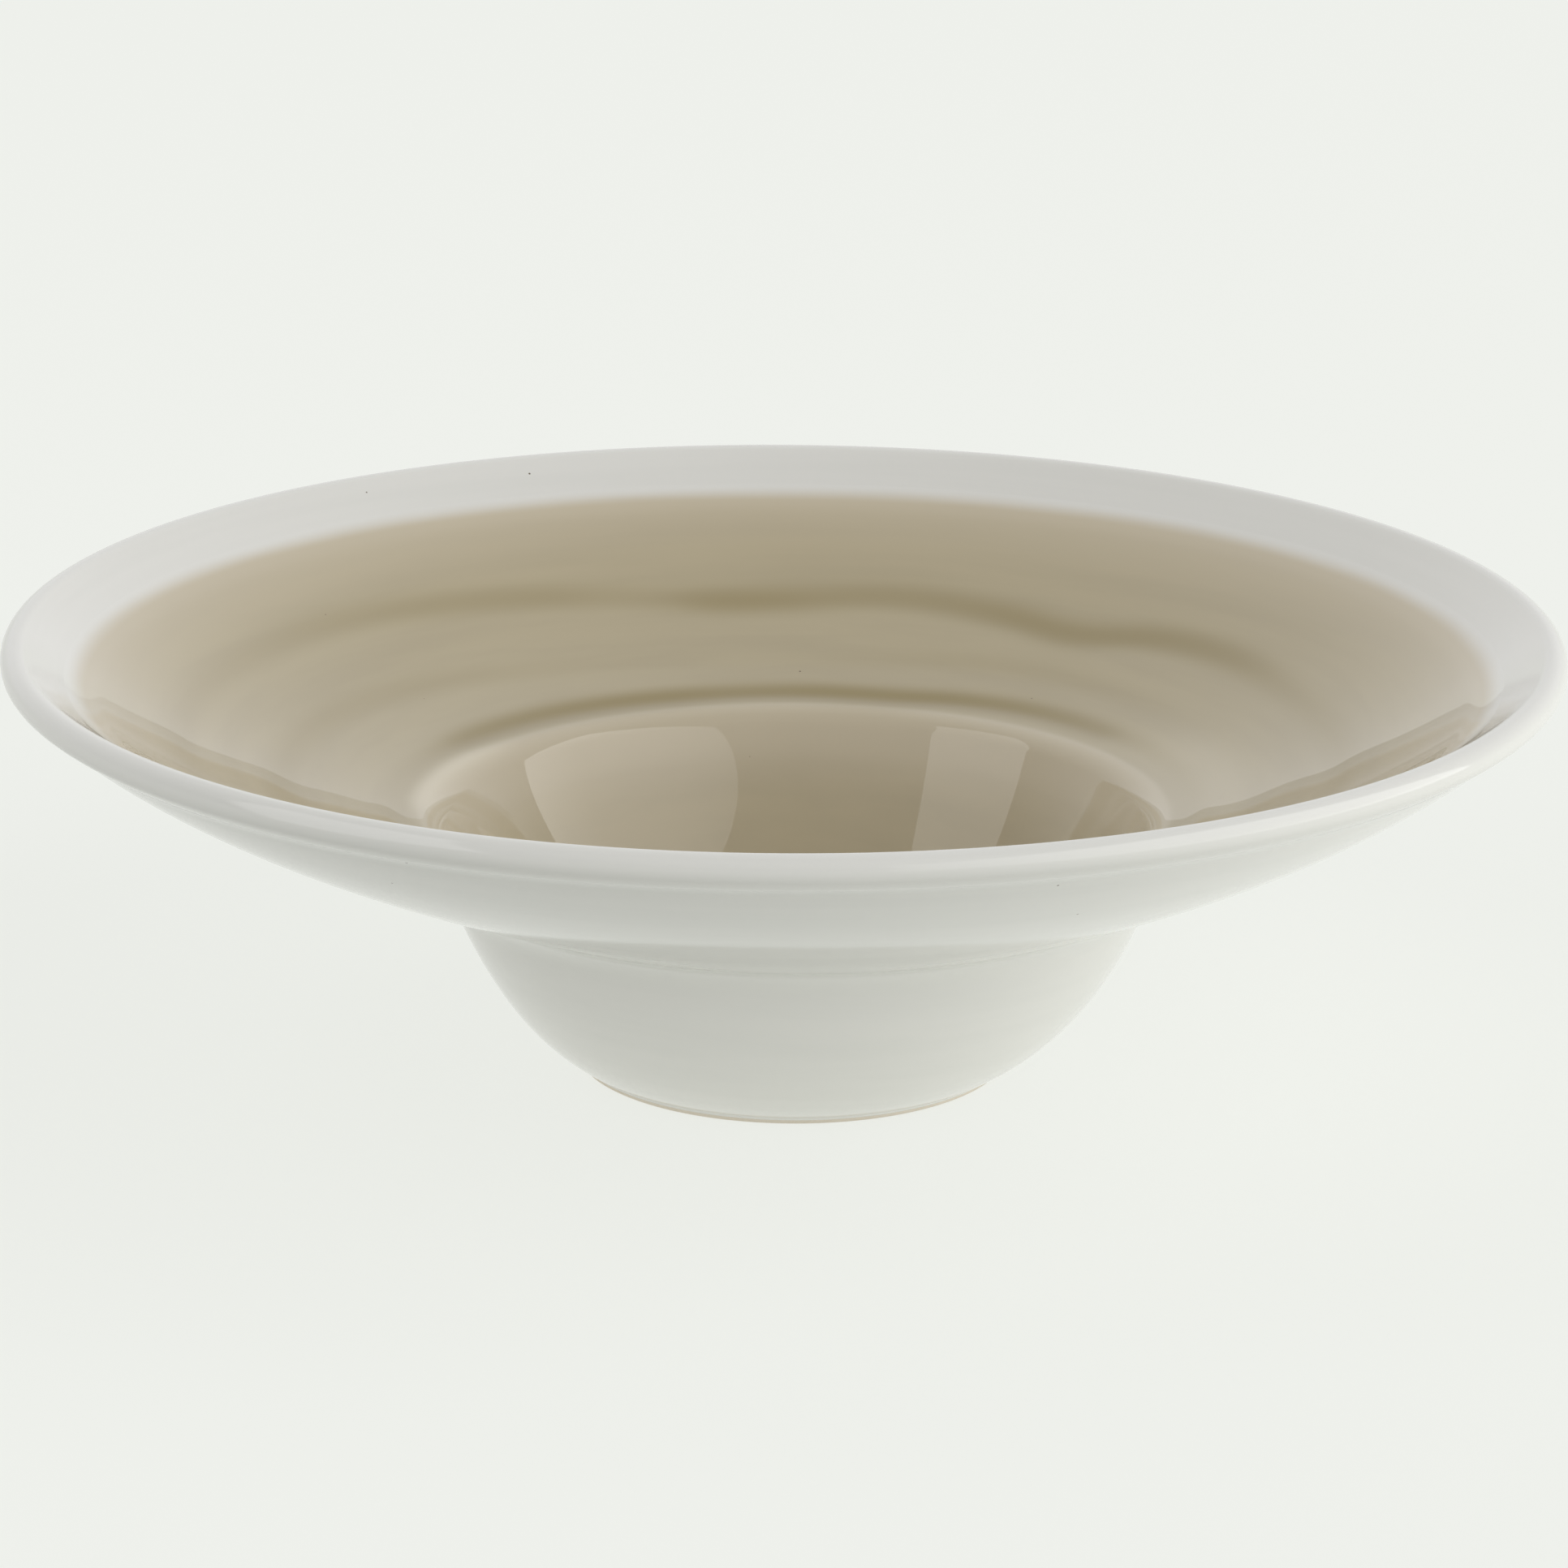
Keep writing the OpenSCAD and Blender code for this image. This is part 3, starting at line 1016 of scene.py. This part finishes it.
# %% [markdown]
# ### Bare stoneware
#
# The foot ring was wiped before firing, so the clay shows there: matt, sandy and pale, with the fine
# rings of the turning tool. The groups of the glazes make it too, with much finer values.

# %% Material: stoneware
CLAY = (0.74, 0.68, 0.58, 1)
CLAY_DARK = (0.66, 0.59, 0.48, 1)
clay_roughness = 0.85
clay_grain = 0.06 * MM


def stoneware_material():
    """Matt clay with tool marks, sand and specks."""
    material, tree, shader = new_material("bare stoneware")
    streak = placed(tree, wheel_streaks, fineness=1400, breaks=3)["Streak"]
    sand = placed(tree, glaze_ripple, per_metre=2500)["Height"]
    speck = placed(tree, iron_specks, per_metre=260, size=0.3 * MM)["Speck"]
    body = mix_colours(tree, calc(tree, "MULTIPLY", streak, sand), CLAY, CLAY_DARK)
    feed(tree, shader["Base Color"], mix_colours(tree, speck, body, IRON))
    feed(tree, shader["Normal"], bent_normal(tree, calc(tree, "ADD", streak, sand), clay_grain))
    shader["Roughness"].default_value = clay_roughness
    return material


stoneware = stoneware_material()
print("material:", stoneware.name)

# %% [markdown]
# ## The four pieces
#
# Each piece stands for the solid of the same coat or body, and rides on the plate's one rigid body. The
# volume inside each mesh is measured as well: it comes out positive only if the faces point outwards.

# %% Make the pieces
ML = 1e-6
SIXTH = 1 / 6
piece_plan = {
    "stoneware_body": ("clay_body", stoneware, "stoneware"),
    "white_coat": ("white_glaze", white_glaze, "white_glaze"),
    "taupe_coat": ("taupe_glaze", taupe_glaze, "taupe_glaze"),
    "base_coat": ("base_glaze", white_glaze, "white_glaze"),
}


def volume_inside(mesh):
    """The sum of the tetrahedra between the origin and each triangle."""
    places = [vertex.co for vertex in mesh.vertices]
    corners = [[places[i] for i in triangle.vertices] for triangle in mesh.loop_triangles]
    return sum(a.dot(b.cross(c)) for a, b, c in corners) * SIXTH


for name, (node, material, slot) in piece_plan.items():
    piece = turned_piece(name, material)
    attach(piece, "root")
    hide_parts(node)
    piece.data.calc_loop_triangles()
    millilitres = volume_inside(piece.data) / ML
    print(f"{name}: {len(piece.data.loop_triangles)} triangles, {millilitres:.1f} ml")

# %% [markdown]
# ## The stage
#
# A plain pale floor, two softboxes and a dim room.
#
# What the camera sees of the floor is mostly its own pale colour, with enough shading left for the
# plate's shadow. For the light that reaches the plate, the same floor is a grey table that also glows:
# it gives off light of its own, brighter near the foot and towards the right. Two floors could do that,
# one of them hidden from the camera, but Light Path tells the two kinds of rays apart within one material.

# %% Light from the table
# The floor's own glow, seen only by light that reaches the plate: even, more near the foot, more on the
# right.
table_r = 0.13
table_glow = 0.5
floor_glow = 0.045
right_glow = 0.7
right_reach = 0.3


def glow_towards_plate(tree):
    """How strongly the floor glows of its own for the light that reaches the plate, brighter near the foot
    and to the right.
    """
    place = object_place(tree)
    away = add_node(tree, "ShaderNodeVectorMath", operation="LENGTH")
    feed(tree, away.inputs[0], place)
    sides = add_node(tree, "ShaderNodeSeparateXYZ")
    feed(tree, sides.inputs[0], place)
    near_foot = bell(tree, away.outputs["Value"], table_r)
    to_the_right = ramp(tree, sides.outputs["X"], 0, right_reach)
    even = calc(tree, "MULTIPLY_ADD", near_foot, table_glow, floor_glow)
    return calc(tree, "MULTIPLY_ADD", to_the_right, right_glow, even)


print(f"table: {floor_glow} all over, {table_glow} more at the foot, {right_glow} more on the right")

# %% Material: floor
PALE = (0.855, 0.871, 0.831, 1)
BOUNCE = (0.47, 0.478, 0.455, 1)
SHADE = (0.20, 0.204, 0.194, 1)
shown_glow = 0.82


def shown_to(tree):
    """Which rays should meet the plain background: the camera's own, and mirrored or bent ones."""
    rays = add_node(tree, "ShaderNodeLightPath").outputs
    mirrored = calc(tree, "ADD", rays["Is Glossy Ray"], rays["Is Transmission Ray"])
    return rays["Is Camera Ray"], mirrored


def clear_from_below(tree):
    """Makes the back of the floor transparent."""
    clear = add_node(tree, "ShaderNodeBsdfTransparent")
    either = add_node(tree, "ShaderNodeMixShader")
    feed(tree, either.inputs[0], add_node(tree, "ShaderNodeNewGeometry").outputs["Backfacing"])
    feed(tree, either.inputs[1], tree.nodes["Principled BSDF"].outputs[0])
    feed(tree, either.inputs[2], clear.outputs[0])
    feed(tree, tree.nodes["Material Output"].inputs["Surface"], either.outputs[0])


def floor_material():
    """A background for the camera and for reflections, and for the light a table that glows of its own."""
    material, tree, shader = new_material("floor")
    straight, mirrored = shown_to(tree)
    shown = calc(tree, "ADD", straight, mirrored, clamp=True)
    feed(tree, shader["Base Color"], mix_colours(tree, shown, BOUNCE, SHADE))
    glow = add_node(tree, "ShaderNodeMapRange")
    feed(tree, glow.inputs["Value"], shown)
    feed(tree, glow.inputs["To Min"], glow_towards_plate(tree))
    feed(tree, glow.inputs["To Max"], shown_glow)
    shader["Emission Color"].default_value = PALE
    feed(tree, shader["Emission Strength"], glow.outputs["Result"])
    shader["Roughness"].default_value = 1
    shader["Specular IOR Level"].default_value = 0
    clear_from_below(tree)
    return material


pale_floor = floor_material()
print("material:", pale_floor.name)

# %% [markdown]
# The floor is one large face. It lies a hair below the foot, because two faces in the same plane
# flicker, and it is clear from below, so that the underside can be looked at.

# %% Floor
floor_half = 20
floor_gap = 0.02 * MM
corner_signs = ((-1, -1), (1, -1), (1, 1), (-1, 1))
floor_corners = [(x * floor_half, y * floor_half, -floor_gap) for x, y in corner_signs]
floor_mesh = bpy.data.meshes.new("floor")
floor_mesh.from_pydata(floor_corners, [], [(0, 1, 2, 3)])
floor_mesh.materials.append(pale_floor)
floor = bpy.data.objects.new("floor", floor_mesh)
scene.collection.objects.link(floor)
print(f"floor {2 * floor_half} m wide, {floor_gap / MM:.2f} mm below the foot")

# %% [markdown]
# The reflections in the well show where the light came from: a tall panel all along the right, fading
# towards the viewer, and a narrower one on the left that leans. A lamp from the menu could be turned by
# hand, but a panel that is set out by the angles between which the plate sees it can be read off the
# reflections. Each is an area lamp that stands on the floor, far enough away to light the plate evenly.
# The fade is in the lamp's own nodes.


# %% Fade of a panel
def fade_panel(data, fade, dim):
    """Dims a panel at its first edge, up to a share of its width."""
    data.use_nodes = True
    cloth = data.node_tree
    across = add_node(cloth, "ShaderNodeSeparateXYZ")
    feed(cloth, across.inputs[0], add_node(cloth, "ShaderNodeNewGeometry").outputs["Parametric"])
    strength = add_node(cloth, "ShaderNodeMapRange")
    feed(cloth, strength.inputs["Value"], across.outputs["X"])
    feed(cloth, strength.inputs["From Max"], fade)
    feed(cloth, strength.inputs["To Min"], dim)
    feed(cloth, cloth.nodes["Emission"].inputs["Strength"], strength.outputs["Result"])
    print(f"{data.name}: {dim} at its first edge, 1 from {fade} of its width")


# %% Softboxes
panel_away = 6
no_fade = 0.0001


def softbox(name, faces, first, last, height, brightness, tilt=0, fade=no_fade, dim=0):
    """A panel of light. Angles are in degrees round the plate from the viewer, right positive."""
    turn = math.radians(faces)
    towards = Vector((math.sin(turn), -math.cos(turn), 0))
    along = Vector((math.cos(turn), math.sin(turn), 0))
    start = panel_away * math.tan(math.radians(first - faces))
    end = panel_away * math.tan(math.radians(last - faces))
    data = bpy.data.lights.new(name, "AREA")
    data.shape = "RECTANGLE"
    data.size = end - start
    data.size_y = height
    data.energy = brightness * math.pi * data.size * data.size_y
    fade_panel(data, fade, dim)
    lamp = bpy.data.objects.new(name, data)
    lamp.location = panel_away * towards + (start + end) / 2 * along + Vector((0, 0, height / 2))
    lamp.rotation_mode = "QUATERNION"
    tilted = Quaternion((0, 0, 1), math.radians(tilt))
    lamp.rotation_quaternion = (-towards).to_track_quat("-Z", "Y") @ tilted
    lamp.visible_camera = False
    scene.collection.objects.link(lamp)
    print(f"{name}: {data.size:.1f} by {data.size_y:.1f} m")


softbox("softbox_right", faces=81, first=15, last=112, height=9.8, brightness=1.55, fade=0.9, dim=0.25)
softbox("softbox_left", faces=-82.5, first=-97.8, last=-54.7, height=11, brightness=1.15, tilt=27.5)

# %% [markdown]
# The room fills the shadows: most from behind, less from the front and the two sides, and a little from
# above. A sky picture could do that, but five plain terms can be set one by one. Near the horizon,
# reflections see the same pale background as the camera.

# %% Room
room_front = 0.48
room_back = 0.94
room_left = 0.38
room_right = 0.29
room_top = 0.12
top_narrowness = 3
horizon_top = 0.02
horizon_end = 0.2

world = bpy.data.worlds.new("room")
scene.world = world
world.use_nodes = True
sky = world.node_tree
towards_sky = add_node(sky, "ShaderNodeSeparateXYZ")
feed(sky, towards_sky.inputs[0], add_node(sky, "ShaderNodeTexCoord").outputs["Generated"])
right, back, up = towards_sky.outputs
overhead = calc(sky, "POWER", calc(sky, "MAXIMUM", up, 0), top_narrowness)
room_light = calc(sky, "MULTIPLY", overhead, room_top)
for axis, operation, strength in (
    (back, "MAXIMUM", room_back),
    (back, "MINIMUM", -room_front),
    (right, "MINIMUM", -room_left),
    (right, "MAXIMUM", room_right),
):
    room_light = calc(sky, "MULTIPLY_ADD", calc(sky, operation, axis, 0), strength, room_light)
straight, mirrored = shown_to(sky)
near_horizon = calc(sky, "SUBTRACT", 1, ramp(sky, up, horizon_top, horizon_end))
pale_share = calc(sky, "MULTIPLY_ADD", mirrored, near_horizon, straight)
feed(sky, sky.nodes["Background"].inputs["Color"], mix_colours(sky, pale_share, room_light, PALE))
scene.view_settings.view_transform = "Standard"
print(f"room: {room_back} from behind, {room_front} in front, {room_left} left, {room_right} right")
